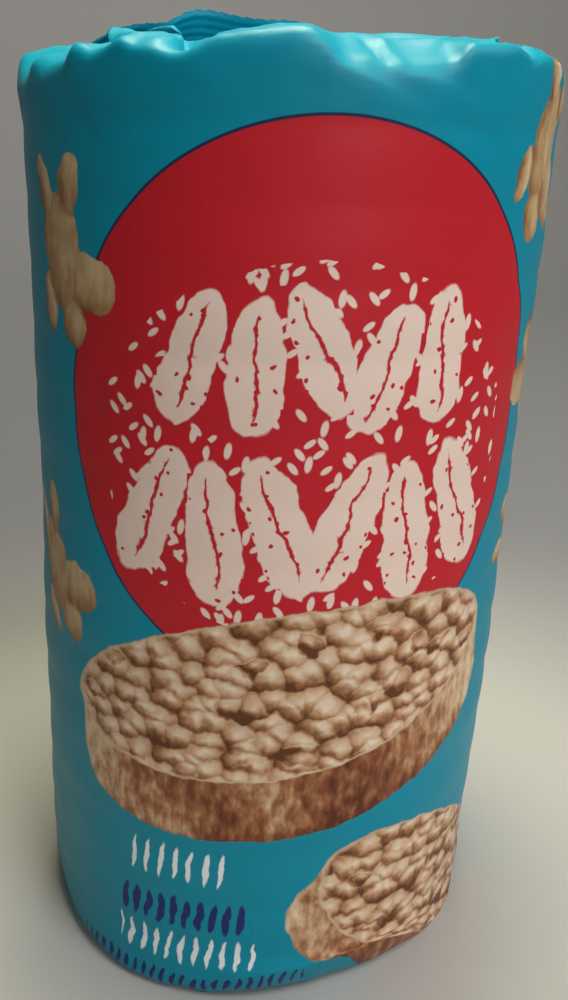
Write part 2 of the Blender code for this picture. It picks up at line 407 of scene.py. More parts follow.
# Sharp creases in the film, each a straight ridge (plus) or furrow (minus) that dies out at both ends:
# bearing in degrees and mm above the shoulder along the film for both ends, then height and half width in mm.
FOLD_CREASES = (
    ((-52, -6), (-46, 9), 0.6, 2.4), ((-44, -1), (-41, 8), -0.7, 1.8), ((-67, -5), (-70, 5), 0.5, 2.0),
    ((-39, -3), (-37, 6), 0.35, 1.6), ((-33, -1), (-29, 6), 0.4, 1.6), ((9, -4), (5, 8), -0.5, 1.5),
    ((10.5, -5), (8, 9), 0.5, 1.3), ((2, 5), (22, 6.5), 0.25, 1.0), ((4, 7), (23, 8.5), -0.25, 0.9),
    ((24, -5), (23, 7), 0.55, 1.5), ((-4, -2), (3, -6), 0.35, 1.6), ((42, -5), (47, 5), 0.4, 1.6),
    ((-24, -3), (-27, 9), -0.5, 2.0), ((-12, -1), (-6, 8), 0.25, 1.5),
)
# The same lower down on the side, in mm round from the middle of the front and mm up from the base.
SIDE_CREASES = (
    ((-1.5, 166), (14, 157.5), -0.4, 2.0), ((14, 157.5), (30, 152), -0.22, 2.4),
    ((9, 166), (24, 158), -0.22, 1.8), ((-37, 121), (-31, 119), -0.3, 1.6),
    ((-37, 121), (-39, 106), -0.25, 2.2), ((-46, 160), (-36, 152), -0.25, 2.4),
    ((38, 60), (47, 52), -0.25, 2.2), ((-48, 44), (-38, 36), -0.2, 2.0),
    ((52, 150), (60, 138), -0.3, 2.4), ((-30, 10), (-18, 14), -0.25, 1.6),
    ((100, 130), (112, 118), -0.3, 2.4), ((-95, 60), (-84, 52), -0.3, 2.4),
)
SMALL_CREASES, ON_THE_TOP = 150, 0.6  # how many, and the share of them round the top
END_FADE = 0.25  # a crease fades out over this share of its length at each end
arc_mm, along_mm = np.meshgrid(BEARING * FILM_RADIUS * 1000, ALONG * 1000)


def crease(start, end, height, half_width):
    """The relief of one crease over the whole film, in mm."""
    run = np.subtract(end, start)
    aside = (arc_mm - start[0] + WHOLE_ROUND / 2) % WHOLE_ROUND - WHOLE_ROUND / 2
    up = along_mm - start[1]
    share = (aside * run[0] + up * run[1]) / (run @ run)
    away = np.abs(aside * run[1] - up * run[0]) / math.sqrt(run @ run)
    ends = np.clip(np.minimum(share, 1 - share) / END_FADE, 0, 1)
    return height * np.clip(1 - away / half_width, 0, 1) * ends


relief = np.zeros_like(arc_mm)
for start, end, height, half_width in FOLD_CREASES:
    start, end = (
        (math.radians(bearing) * FILM_RADIUS * 1000, SHOULDER * 1000 + up) for bearing, up in (start, end)
    )
    relief += crease(start, end, height, half_width)
for start, end, height, half_width in SIDE_CREASES:
    relief += crease(start, end, height, half_width)
draw = random.Random(5)
for _ in range(SMALL_CREASES):
    top = draw.random() < ON_THE_TOP
    start = (draw.uniform(-0.5, 0.5) * WHOLE_ROUND, draw.uniform(-4, 18))
    slant = draw.gauss(0, 0.6)
    length = draw.uniform(5, 14)
    end = (start[0] + length * math.sin(slant), start[1] + length * math.cos(slant))
    height, half_width = draw.choice((-1, 1)) * draw.uniform(0.08, 0.26), draw.uniform(0.9, 1.8)
    if top:
        start, end = ((arc, SHOULDER * 1000 + up) for arc, up in (start, end))
    else:
        start, end = ((arc, -up) for arc, up in (start, end))
    relief += crease(start, end, height, half_width)
# The creases die out before they reach the crimped seams.
SEAM_CLEAR, SEAM_FADE = 0.004, 0.006
short_of_top = np.clip((SHOULDER + FREE_LENGTH - SEAM_CLEAR - ALONG) / SEAM_FADE, 0, 1)
short_of_base = np.clip((ALONG + FREE_LENGTH - SEAM_CLEAR) / SEAM_FADE, 0, 1)
relief *= (short_of_top * short_of_base)[:, None]

# Between its ends the film lies over the rims of the cakes, is drawn in a little at the middle, and is
# never quite even. Sizes are in mm.
CAKE_PITCH = 11.1
CAKE_ROUND = 0.2
WAIST = 0.35
UNEVEN = 0.45
UNEVEN_WAVES = (1.8, 38)  # waves for each film radius round the pack and for each metre up it
SIDE_FADE = 12
# The cakes don't quite line up: bearing in degrees and height in mm of each broad swell, how far it spreads
# in degrees and mm, and how far it stands out in mm.
SWELLS = (
    (78, 132, 32, 42, 0.5), (-76, 4, 18, 10, -0.9), (62, 8, 22, 20, -1.5), (-84, 14, 28, 36, -0.55),
    (-80, 92, 24, 26, -0.25), (150, 60, 40, 40, 0.4), (20, 40, 30, 30, 0.2),
)
SWELLS_END = 168  # mm up the film, just over the shoulder
on_side = np.clip(np.minimum(along_mm, SHOULDER * 1000 - along_mm) / SIDE_FADE, 0, 1)
rounds = CAKE_ROUND * (np.abs(np.sin(math.pi * along_mm / CAKE_PITCH)) - 1)
soft = np.empty_like(arc_mm)
round_waves, up_waves = UNEVEN_WAVES
for row in range(FINE_ROWS):
    for column in range(FINE_COLUMNS):
        x, y = round_waves * math.sin(BEARING[column]), round_waves * math.cos(BEARING[column])
        soft[row, column] = noise.noise((x, y, ALONG[row] * up_waves))
drawn_in = WAIST * np.sin(math.pi * np.clip(along_mm / (SHOULDER * 1000), 0, 1))
side_relief = on_side * (rounds * (1 + soft) + soft * UNEVEN) - drawn_in
beside = (along_mm > 0) & (along_mm < SWELLS_END)
for bearing, height, spread, spread_up, out in SWELLS:
    off_round = (np.degrees(BEARING) - bearing + 180) % 360 - 180
    off_up = (along_mm - height) / spread_up
    side_relief += out * np.exp(-((off_round / spread)[None, :] ** 2) - off_up**2) * beside

film.data.vertices.foreach_set("co", grid[fine_row, fine_column].ravel())
film.data.update()
flat_normals = np.empty(len(film.data.vertices) * 3)
film.data.vertices.foreach_get("normal", flat_normals)
normal_grid = np.empty_like(grid)
normal_grid[fine_row, fine_column] = flat_normals.reshape(-1, 3)
grid += normal_grid * (relief / 1000)[:, :, None]
outward = np.stack([np.sin(BEARING), -np.cos(BEARING), np.zeros(FINE_COLUMNS)], axis=1)
grid += outward[None] * (side_relief / 1000)[:, :, None]

# The bottom is pressed flat between the last cake and the shelf, turns up loosely in places round its edge,
# and the whole stack leans a little.
FOLD_RELIEF = 0.0005  # how far the folds under the base stand out after pressing
PRESS_FADE = 0.003
RIM = 0.0025  # the rounded rim round the pressed bottom
EDGE_REACH = 0.0065  # the bottom edge is turned up over this much inwards
EDGE_FADE = 0.012  # and this much up the side
# Bearing in degrees, and how far the bottom edge is turned up there in mm.
TURNED_UP = (
    (-180, 1.2), (-130, 2.4), (-100, 1.8), (-84, 7.0), (-74, 6.6), (-62, 1.2), (-20, 0.5), (0, 5.4),
    (14, 7.6), (30, 5.0), (50, 1.6), (80, 1.8), (120, 0.8), (150, 2.2), (180, 1.2),
)
lower = ALONG < SHOULDER / 2
radius = np.hypot(grid[:, :, 0], grid[:, :, 1])
inner = np.clip((FILM_RADIUS - RIM - radius) / PRESS_FADE, 0, 1)
below = grid[:, :, 2]
flattened = FOLD_RELIEF * np.tanh(below / PRESS_FADE)
grid[lower, :, 2] = (below * (1 - inner) + flattened * inner)[lower]
grid[:, :, 2] = np.maximum(grid[:, :, 2], -FOLD_RELIEF)
bearings, rises = np.array(TURNED_UP).T
rise = np.interp(np.degrees(BEARING), bearings, rises) / 1000
outer = np.clip((radius - FILM_RADIUS + EDGE_REACH) / EDGE_REACH, 0, 1)
low = np.clip(1 - grid[:, :, 2] / EDGE_FADE, 0, 1)
grid[lower, :, 2] += (rise * outer * outer * low * low * (3 - 2 * low))[lower]
grid[:, :, 2] += FOLD_RELIEF
grid[:, :, 0] += LEAN * grid[:, :, 2]
film.data.vertices.foreach_set("co", grid[fine_row, fine_column].ravel())
film.data.update()

# The crimped seams are cut to small teeth, and their front and back layers are welded at the cut.
TOOTH = 0.0002


def weld_cut_edges(film):
    """Cuts both open ends of the film to teeth, and joins each front layer to the back layer behind it."""
    mesh = bmesh.new()
    mesh.from_mesh(film.data)
    print_layer = mesh.loops.layers.uv[PRINT_MAP]
    ends = {}
    for vert in mesh.verts:
        if vert.is_boundary:
            arc, height = vert.link_loops[0][print_layer].uv
            round_ = int(round(arc / WHOLE_ROUND * FINE_COLUMNS)) % FINE_COLUMNS
            ends.setdefault(height > 0, {})[round_] = vert
    for loop in ends.values():
        for round_, vert in loop.items():
            inner = next(edge.other_vert(vert) for edge in vert.link_edges if not edge.is_boundary)
            vert.co += (vert.co - inner.co).normalized() * (TOOTH if round_ % 2 else -TOOTH)
        for round_ in range(-FINE_COLUMNS // 4, FINE_COLUMNS // 4):
            across = FINE_COLUMNS // 2 - round_
            verts = []
            for corner in (round_, round_ + 1, across - 1, across):
                vert = loop[corner % FINE_COLUMNS]
                if vert not in verts:
                    verts.append(vert)
            if len(verts) > 2:
                face = mesh.faces.new(verts)
                for corner in face.loops:
                    near = corner.vert.link_loops[0]
                    for layer in mesh.loops.layers.uv.values():
                        corner[layer].uv = near[layer].uv
    bmesh.ops.recalc_face_normals(mesh, faces=mesh.faces[:])
    mesh.to_mesh(film.data)
    mesh.free()


weld_cut_edges(film)
film.data.shade_smooth()

# The film's material: polypropylene film printed on its inner side, with a satin outer face. The print is
# drawn from plain shapes on the flat film, in mm round from the middle of the front and up from the base.
material = bpy.data.materials.new("printed_polypropylene_film")
material.use_nodes = True
tree = material.node_tree
shader = tree.nodes["Principled BSDF"]


def linear(hex_colour):
    """sRGB hex to linear RGBA."""
    channels = [int(hex_colour[i:i + 2], 16) / 255 for i in (1, 3, 5)]
    return [c / 12.92 if c <= 0.04045 else ((c + 0.055) / 1.055) ** 2.4 for c in channels] + [1.0]


def wire(node, inputs):
    """Fills inputs, named or counted among the node's live ones, each with a value, a socket, or another
    node's first live output."""
    live = [socket for socket in node.inputs if socket.enabled]
    for name, value in inputs.items():
        named = isinstance(name, str)
        place = next(socket for socket in live if socket.name == name) if named else live[name]
        if isinstance(value, bpy.types.Node):
            value = next(socket for socket in value.outputs if socket.enabled)
        if isinstance(value, bpy.types.NodeSocket):
            tree.links.new(value, place)
        else:
            place.default_value = value


def add(kind, inputs=None, inks=(), **settings):
    """A new node with its settings and links. A colour ramp's inks are places from 0 to 1 with colours."""
    node = tree.nodes.new("ShaderNode" + kind)
    for name, value in settings.items():
        setattr(node, name, value)
    wire(node, inputs or {})
    if inks:
        band = node.color_ramp.elements
        while len(band) < len(inks):
            band.new(0.5)
        for element, (place, ink) in zip(band, inks):
            element.position = place
            element.color = linear(ink)
    return node


def summed(base, *shares):
    """The base with other values added to it, each by its own weight."""
    for value, weight in shares:
        base = add("Math", {0: value, 1: weight, 2: base}, operation="MULTIPLY_ADD")
    return base


def placed(point, centre, half_sizes, turn_degrees):
    """The point in the units of a shape printed at this place, size and turn."""
    cosine, sine = math.cos(math.radians(turn_degrees)), math.sin(math.radians(turn_degrees))
    from_centre = add("VectorMath", {0: point, 1: (*centre, 0)}, operation="SUBTRACT")
    wide = (cosine / half_sizes[0], sine / half_sizes[0], 0)
    high = (-sine / half_sizes[1], cosine / half_sizes[1], 0)
    across, up = (
        add("VectorMath", {0: from_centre, 1: axis}, operation="DOT_PRODUCT") for axis in (wide, high)
    )
    return add("CombineXYZ", {"X": across, "Y": up})


def overprint(under, ink, field, edge, soft):
    """The ink over what is printed below it, wherever the field is less than its edge."""
    covered = add("MapRange", {"Value": field, "From Min": edge + soft, "From Max": edge - soft})
    return add("Mix", {"Factor": covered, "A": under, "B": ink}, data_type="RGBA")


OFF_SHAPES = 9.0  # what a shape's units say where none is printed


def stamp_map(name, placements, reach):
    """A map of the film that counts in half sizes from the middle of whichever printed shape a face lies on.
    Each placement is a centre in mm, half sizes in mm and a turn in degrees."""
    corners = np.empty(2 * len(film.data.loops))
    film.data.uv_layers[PRINT_MAP].data.foreach_get("uv", corners)
    corners = corners.reshape(-1, 2)
    sides = np.empty(len(film.data.polygons), dtype=int)
    film.data.polygons.foreach_get("loop_total", sides)
    face = np.repeat(np.arange(len(sides)), sides)
    middles = np.stack([np.bincount(face, corners[:, axis]) for axis in (0, 1)], axis=1) / sides[:, None]
    units = np.full_like(corners, OFF_SHAPES)
    nearest = np.full(len(sides), reach)
    for centre, half_sizes, turn_degrees in placements:
        cosine, sine = math.cos(math.radians(turn_degrees)), math.sin(math.radians(turn_degrees))
        turned = np.array([[cosine, -sine], [sine, cosine]])
        out = np.linalg.norm((middles - centre) @ turned / half_sizes, axis=1)
        here = out < nearest
        nearest[here] = out[here]
        units[here[face]] = ((corners - centre) @ turned / half_sizes)[here[face]]
    film.data.uv_layers.new(name=name).data.foreach_set("uv", units.ravel())


# Printed outlines wander a little, by different shares of one soft wander. Grit, toast and patches are
# mottlings of three sizes. All sizes are in mm.
WANDER, GRIT, TOAST, PATCH = 4.2, 1.1, 1.8, 18
ROUGH, UNEVEN_LINE, SWOLLEN = 2.0, 1.6, 3.0
film_mm = add("UVMap", uv_map=PRINT_MAP)
wander = add("TexNoise", {"Vector": film_mm, "Scale": 1 / WANDER, "Detail": 2.0}, noise_dimensions="2D")
wander = add("VectorMath", {0: wander.outputs["Color"], 1: (0.5, 0.5, 0.5)}, operation="SUBTRACT")
rough, uneven, swollen = (
    add("VectorMath", {0: wander, 1: (stray,) * 3, 2: film_mm}, operation="MULTIPLY_ADD")
    for stray in (ROUGH, UNEVEN_LINE, SWOLLEN)
)
grit = add("TexNoise", {"Vector": film_mm, "Scale": 1 / GRIT, "Detail": 2.0}, noise_dimensions="2D")
patches = add("TexNoise", {"Vector": film_mm, "Scale": 1 / PATCH, "Detail": 1.0}, noise_dimensions="2D")
tall = add("VectorMath", {0: film_mm, 1: (1.0, 0.5, 1.0)}, operation="MULTIPLY")
toast = add("TexNoise", {"Vector": tall, "Scale": 1 / TOAST, "Detail": 3.0}, noise_dimensions="2D")

# The ground is teal, with a red disc in a thin dark outline on the front and a smaller one round the back.
# Beside that one a pale panel is left bare.
NAVY, CREAM, RED, RICE = linear("#1B2A4A"), linear("#ECDFCF"), linear("#C21F2B"), linear("#EDD3C5")
DISCS = (((0, 112.4, 0), 43.8), ((-106, 92, 0), 25.0))
OUTLINE, CLEAN_EDGE = 0.22, 0.08
printed = linear("#008BA4")
for disc_middle, disc_radius in DISCS:
    from_disc = add("VectorMath", {0: film_mm, 1: disc_middle}, operation="DISTANCE")
    printed = overprint(printed, NAVY, from_disc, disc_radius + OUTLINE, CLEAN_EDGE)
    printed = overprint(printed, RED, from_disc, disc_radius - OUTLINE, CLEAN_EDGE)
PANEL_MIDDLE, PANEL_HALF, PANEL_CORNER = (114, 84, 0), (20, 46, 1), 3.0
from_panel = add("VectorMath", {0: film_mm, 1: PANEL_MIDDLE}, operation="SUBTRACT")
from_panel = add("VectorMath", {0: from_panel}, operation="ABSOLUTE")
from_panel = add("VectorMath", {0: from_panel, 1: PANEL_HALF}, operation="SUBTRACT")
from_panel = add("VectorMath", {0: from_panel, 1: (0, 0, 0)}, operation="MAXIMUM")
from_panel = add("VectorMath", {0: from_panel}, operation="LENGTH")
printed = overprint(printed, CREAM, from_panel, PANEL_CORNER, CLEAN_EDGE)

# Crumbs of rice are scattered in three layers over a patch of the disc: the turn of each layer in degrees and
# the width of its cells in mm. Some cells are left empty.
CRUMB_PATCH = ((0, 107), (37, 30), 0)
CRUMB_LAYERS = ((35, 2.5), (-50, 2.8), (80, 3.1))
CRUMB_STRETCH, CRUMB_SIZE, CRUMBS_KEPT = 2.2, 0.19, 0.5
from_patch = add("VectorMath", {0: placed(uneven, *CRUMB_PATCH)}, operation="LENGTH")
off_patch = add("Math", {0: from_patch, 1: 1.0}, operation="GREATER_THAN")
for turn_degrees, cell_width in CRUMB_LAYERS:
    scattered = placed(film_mm, (0, 0), (cell_width * CRUMB_STRETCH, cell_width), turn_degrees)
    cells = add("TexVoronoi", {"Vector": scattered, "Scale": 1.0}, voronoi_dimensions="2D")
    lot = add("SeparateXYZ", {0: cells.outputs["Color"]})
    left_out = add("Math", {0: lot.outputs["X"], 1: CRUMBS_KEPT}, operation="GREATER_THAN")
    crumbs = summed(cells.outputs["Distance"], (left_out, 1.0), (off_patch, 1.0))
    printed = overprint(printed, RICE, crumbs, CRUMB_SIZE, 0.03)

# Two rows of big puffed grains tumble across the disc: each row's height, count, half span and half sizes.
# A grain is plump at its middle, and slimmer at its upper end.
GRAIN_ROWS = ((122.5, 5, 20.0, (4.1, 10.4)), (96, 6, 27.0, (4.4, 12.2)))
GRAIN_LIFT, GRAIN_TILT = 1.6, 26
GRAIN_MAP, GRAIN_REACH = "grain_units", 1.25
grains = []
for height, count, half_span, half_sizes in GRAIN_ROWS:
    for number in range(count):
        across = -half_span + 2 * half_span * number / (count - 1)
        lift = GRAIN_LIFT * math.sin(number * 2.4 + height)
        tilt = GRAIN_TILT * math.sin(number * 2.1 + height * 0.7)
        grains.append(((across, height + lift), half_sizes, tilt))
stamp_map(GRAIN_MAP, grains, GRAIN_REACH)
GRAIN_STRAY, SLIMMING, PLUMP, BEYOND_END = (0.43, 0.17, 0), 0.16, 0.35, 1.2
grain_point = add("UVMap", uv_map=GRAIN_MAP)
grain_point = add("VectorMath", {0: wander, 1: GRAIN_STRAY, 2: grain_point}, operation="MULTIPLY_ADD")
grain_axes = add("SeparateXYZ", {0: grain_point})
along_grain = grain_axes.outputs["Y"]
slimmer = add("Math", {0: along_grain, 1: SLIMMING, 2: 1.0}, operation="MULTIPLY_ADD")
across = add("Math", {0: grain_axes.outputs["X"], 1: slimmer}, operation="MULTIPLY")
tip = add("Math", {0: along_grain}, operation="ABSOLUTE")
tip = add("MapRange", {
    "Value": tip, "From Min": PLUMP, "From Max": BEYOND_END, "To Max": (BEYOND_END - PLUMP) / (1 - PLUMP),
})
grain = add("CombineXYZ", {"X": across, "Y": tip})
grain = add("VectorMath", {0: grain}, operation="LENGTH")
printed = overprint(printed, RICE, grain, 1.0, 0.03)

# Down the middle of each grain runs a wavering red furrow that ends short of its tips.
FURROW_WAVES, FURROW_SWING, FURROW_WIDTH, FURROW_SHORTER = 3.2, 0.16, 0.036, 0.9
furrow = add("Math", {0: along_grain, 1: FURROW_WAVES}, operation="MULTIPLY")
furrow = add("Math", {0: furrow}, operation="SINE")
furrow = add("Math", {0: furrow, 1: FURROW_SWING, 2: across}, operation="MULTIPLY_ADD")
furrow = add("Math", {0: furrow}, operation="ABSOLUTE")
past_ends = add("Math", {0: along_grain, 1: FURROW_SHORTER}, operation="MULTIPLY")
past_ends = add("Math", {0: past_ends}, operation="ABSOLUTE")
past_ends = add("Math", {0: past_ends, 1: 8.0}, operation="POWER")
furrow = add("Math", {0: furrow, 1: past_ends}, operation="ADD")
furrow = add("Math", {0: furrow, 1: grit}, operation="MULTIPLY")
printed = overprint(printed, RED, furrow, FURROW_WIDTH, 0.012)

# Small red nicks fleck the grains.
NICK_PITCH, NICK_SIZE, NICKS_KEPT = 2.6, 0.14, 0.4
off_grain = add("Math", {0: grain, 1: 0.97}, operation="GREATER_THAN")
cells = add("TexVoronoi", {"Vector": rough, "Scale": 1 / NICK_PITCH}, voronoi_dimensions="2D")
lot = add("SeparateXYZ", {0: cells.outputs["Color"]})
left_out = add("Math", {0: lot.outputs["X"], 1: NICKS_KEPT}, operation="GREATER_THAN")
nicks = summed(cells.outputs["Distance"], (left_out, 1.0), (off_grain, 1.0))
printed = overprint(printed, RED, nicks, NICK_SIZE, 0.02)

# Puffed cakes: each has a knobbly pale face, and a toasted side, which is the face's outline swept down or
# aside. Each is its centre, half sizes, turn in degrees and sweep.
CAKES = (
    ((-2.4, 65.8), (42.6, 15.4), 10, (1.6, -12.4)),
    ((32.6, 16.3), (30.3, 15.1), -28, (-5.5, -7.0)),
)
FACE_INKS = ((0.2, "#62391F"), (0.36, "#9A6A46"), (0.48, "#C09470"), (0.64, "#D6B494"), (0.9, "#E9D5BE"))
SIDE_INKS = ((0.34, "#5E2F1A"), (0.48, "#844C30"), (0.6, "#A36E49"), (0.76, "#CDA983"), (0.92, "#E4CBA8"))
RIM_INK, RIM_WIDTH = linear("#D6B898"), 0.022
KNOB, KNOB_SQUEEZE, LIT_FROM = 4.4, 1.35, (0.11, 0.22)  # size in mm, width over height, and shares of a knob
knob_point = add("VectorMath", {0: swollen, 1: (1, KNOB_SQUEEZE, 1)}, operation="MULTIPLY")
to_light = (LIT_FROM[0] * KNOB, LIT_FROM[1] * KNOB, 0)
knob_aside = add("VectorMath", {0: knob_point, 1: to_light}, operation="ADD")
here, aside = (
    add("TexVoronoi", {"Vector": point, "Scale": 1 / KNOB}, voronoi_dimensions="2D")
    for point in (knob_point, knob_aside)
)
knob_height, height_aside = (
    add("Math", {0: 1.0, 1: cells.outputs["Distance"]}, operation="SUBTRACT") for cells in (here, aside)
)
facing_light = add("Math", {0: knob_height, 1: height_aside}, operation="SUBTRACT")
tint = add("SeparateXYZ", {0: aside.outputs["Color"]})
burst = add("Math", {0: tint.outputs["X"], 1: 0.10}, operation="LESS_THAN")
face_tone = summed(
    0.07, (knob_height, 0.55), (facing_light, 0.7), (grit, 0.2), (tint.outputs["Y"], 0.10), (burst, -0.18),
)
face_ink = add("ValToRGB", {"Fac": face_tone}, inks=FACE_INKS)
for centre, half_sizes, turn_degrees, sweep in CAKES:
    on_face = placed(uneven, centre, half_sizes, turn_degrees)
    face = add("VectorMath", {0: on_face}, operation="LENGTH")
    turned = math.radians(turn_degrees)
    swept = (
        (sweep[0] * math.cos(turned) + sweep[1] * math.sin(turned)) / half_sizes[0],
        (sweep[1] * math.cos(turned) - sweep[0] * math.sin(turned)) / half_sizes[1],
    )
    swept_square = swept[0] ** 2 + swept[1] ** 2
    per_sweep = (swept[0] / swept_square, swept[1] / swept_square, 0)
    along = add("VectorMath", {0: on_face, 1: per_sweep}, operation="DOT_PRODUCT")
    along = add("Math", {0: along, 1: 0.0}, operation="ADD", use_clamp=True)
    back = add("VectorMath", {0: (-swept[0], -swept[1], 0), "Scale": along}, operation="SCALE")
    side = add("VectorMath", {0: on_face, 1: back}, operation="ADD")
    side = add("VectorMath", {0: side}, operation="LENGTH")
    lower_edge = add("MapRange", {"Value": side, "From Min": 0.86, "From Max": 1.0})
    to_ends = add("SeparateXYZ", {0: on_face}).outputs["X"]
    to_ends = add("Math", {0: to_ends, 1: to_ends}, operation="MULTIPLY")
    side_tone = summed(0.0, (toast, 0.6), (patches, 0.45), (lower_edge, -0.12), (to_ends, 0.36))
    side_ink = add("ValToRGB", {"Fac": side_tone}, inks=SIDE_INKS)
    printed = overprint(printed, side_ink, side, 1.0, 0.008)
    printed = overprint(printed, RIM_INK, face, 1.0, 0.01)
    printed = overprint(printed, face_ink, face, 1 - RIM_WIDTH, 0.02)

# Popped maize lies scattered all round the film, each piece a place and a turn in degrees. A piece is a few
# lobes swollen out of its hull, in units of its half size.
POPPED_PLACES = (
    (-46, 136, 4), (-53, 80.5, 24), (44, 153.5, -28), (56, 113, -160), (61, 84, 75), (82, 140, 40),
    (74, 50, 200), (-78, 118, 170), (-86, 151, 100), (-78, 44, -20), (118, 151, -60), (98, 18, 120),
    (-134, 136, 30), (-126, 50, -100), (-98, 16, 70), (-74, 6, 190), (140, 18, -30),
)
LOBES = (
    ((-0.04, 0.0), (0.40, 0.66), 6), ((-0.36, 0.70), (0.17, 0.38), 12), ((0.20, 0.74), (0.20, 0.34), -14),
    ((0.46, -0.32), (0.44, 0.32), -24), ((0.16, -0.74), (0.24, 0.32), -10), ((-0.40, -0.54), (0.15, 0.34), 8),
)
POPPED_INKS = ((0.2, "#7E5430"), (0.42, "#A67E54"), (0.62, "#BE9C72"), (0.95, "#D8C29C"))
POPPED_SIZE, POPPED_REACH, POPPED_STRAY = 14.0, 1.4, 0.15
LOBE_VALLEY, LOBE_LIT_FROM = 0.15, (0.05, 0.07, 0)
POPPED_MAP = "popped_units"
popped = [((x, up), (POPPED_SIZE, POPPED_SIZE), turned) for x, up, turned in POPPED_PLACES]
stamp_map(POPPED_MAP, popped, POPPED_REACH)


def lobe_height(point):
    """How far the tallest lobe stands out at a point, with soft valleys between lobes."""
    tallest = None
    for lobe in LOBES:
        out = add("VectorMath", {0: placed(point, *lobe)}, operation="LENGTH")
        dome = add("Math", {0: out, 1: out}, operation="MULTIPLY")
        dome = add("Math", {0: 1.0, 1: dome}, operation="SUBTRACT")
        if tallest is None:
            tallest = dome
        else:
            tallest = add("Math", {0: tallest, 1: dome, 2: LOBE_VALLEY}, operation="SMOOTH_MAX")
    return tallest


popped_point = add("UVMap", uv_map=POPPED_MAP)
stray = (POPPED_STRAY, POPPED_STRAY, 0)
popped_point = add("VectorMath", {0: wander, 1: stray, 2: popped_point}, operation="MULTIPLY_ADD")
popped_aside = add("VectorMath", {0: popped_point, 1: LOBE_LIT_FROM}, operation="ADD")
popped_height = lobe_height(popped_point)
facing_light = add("Math", {0: popped_height, 1: lobe_height(popped_aside)}, operation="SUBTRACT")
popped_tone = summed(0.18, (popped_height, 0.22), (facing_light, 0.5), (toast, 0.5))
popped_ink = add("ValToRGB", {"Fac": popped_tone}, inks=POPPED_INKS)
outside = add("Math", {0: popped_height, 1: -1.0}, operation="MULTIPLY")
printed = overprint(printed, popped_ink, outside, 0.0, 0.03)

# Small leaning strokes stand in rows low on the front, by turns white and navy: each row's height and half
# height, its strokes' pitch and half width, the row's middle and half length, and its ink.
WHITE_ROW, NAVY_ROW = linear("#E9EEF0"), linear("#1D2C6B")
SMALL_ROWS = (
    (30.0, 3.6, 2.9, 0.5, (-21, 10.2), WHITE_ROW), (19.2, 3.3, 2.6, 0.78, (-20.5, 13.2), NAVY_ROW),
    (10.9, 3.5, 2.7, 0.54, (-20, 13.6), WHITE_ROW), (2.6, 2.0, 2.1, 0.5, (-21, 24), NAVY_ROW),
)
STROKE_LEAN = 0.35
row_axes = add("SeparateXYZ", {0: uneven})
for row_height, half_height, pitch, half_width, (row_middle, half_length), ink in SMALL_ROWS:
    up = add("Math", {0: row_axes.outputs["Y"], 1: row_height}, operation="SUBTRACT")
    up = add("Math", {0: up, 1: half_height}, operation="DIVIDE")
    across = add("Math", {0: up, 1: -STROKE_LEAN, 2: row_axes.outputs["X"]}, operation="MULTIPLY_ADD")
    across = add("Math", {0: across, 1: pitch}, operation="FLOORED_MODULO")
    across = add("Math", {0: across, 1: pitch / 2}, operation="SUBTRACT")
    across = add("Math", {0: across, 1: half_width}, operation="DIVIDE")
    stroke = add("CombineXYZ", {"X": across, "Y": up})
    stroke = add("VectorMath", {0: stroke}, operation="LENGTH")
    from_row = add("Math", {0: row_axes.outputs["X"], 1: row_middle}, operation="SUBTRACT")
    from_row = add("Math", {0: from_row}, operation="ABSOLUTE")
    off_row = add("Math", {0: from_row, 1: half_length}, operation="GREATER_THAN")
    stroke = add("Math", {0: off_row, 1: OFF_SHAPES, 2: stroke}, operation="MULTIPLY_ADD")
    printed = overprint(printed, ink, stroke, 1.0, 0.1)

# The outer face is satin, duller in patches and faintly uneven, and fine ribs are pressed into the crimped
# seams.
DULLNESS = (0.40, 0.50)
DIMPLE, RIB, RIB_DEPTH = 7, 1.3, 0.6
CRIMP_FROM_MIDDLE = (SHOULDER / 2 + FREE_LENGTH) * 1000
gloss = add("MapRange", {"Value": patches, "To Min": DULLNESS[0], "To Max": DULLNESS[1]})
dimples = add("TexNoise", {"Vector": film_mm, "Scale": 1 / DIMPLE, "Detail": 2.0}, noise_dimensions="2D")
up_film = add("SeparateXYZ", {0: film_mm}).outputs["Y"]
from_middle = add("Math", {0: up_film, 1: SHOULDER * 500}, operation="SUBTRACT")
from_middle = add("Math", {0: from_middle}, operation="ABSOLUTE")
in_crimp = add("Math", {0: from_middle, 1: CRIMP_FROM_MIDDLE}, operation="GREATER_THAN")
ribs = add("Math", {0: up_film, 1: 2 * math.pi / RIB}, operation="MULTIPLY")
ribs = add("Math", {0: ribs}, operation="SINE")
ribs = add("Math", {0: ribs, 1: in_crimp}, operation="MULTIPLY")
surface = add("Math", {0: ribs, 1: RIB_DEPTH, 2: dimples}, operation="MULTIPLY_ADD")
bump = add("Bump", {"Height": surface, "Strength": 0.35, "Distance": 0.0004})
wire(shader, {"Base Color": printed, "Roughness": gloss, "Normal": bump})
wire(shader, {"IOR": 1.5, "Specular IOR Level": 0.24})
film.data.materials.clear()
film.data.materials.append(material)
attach(film, "root")
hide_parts("pack")

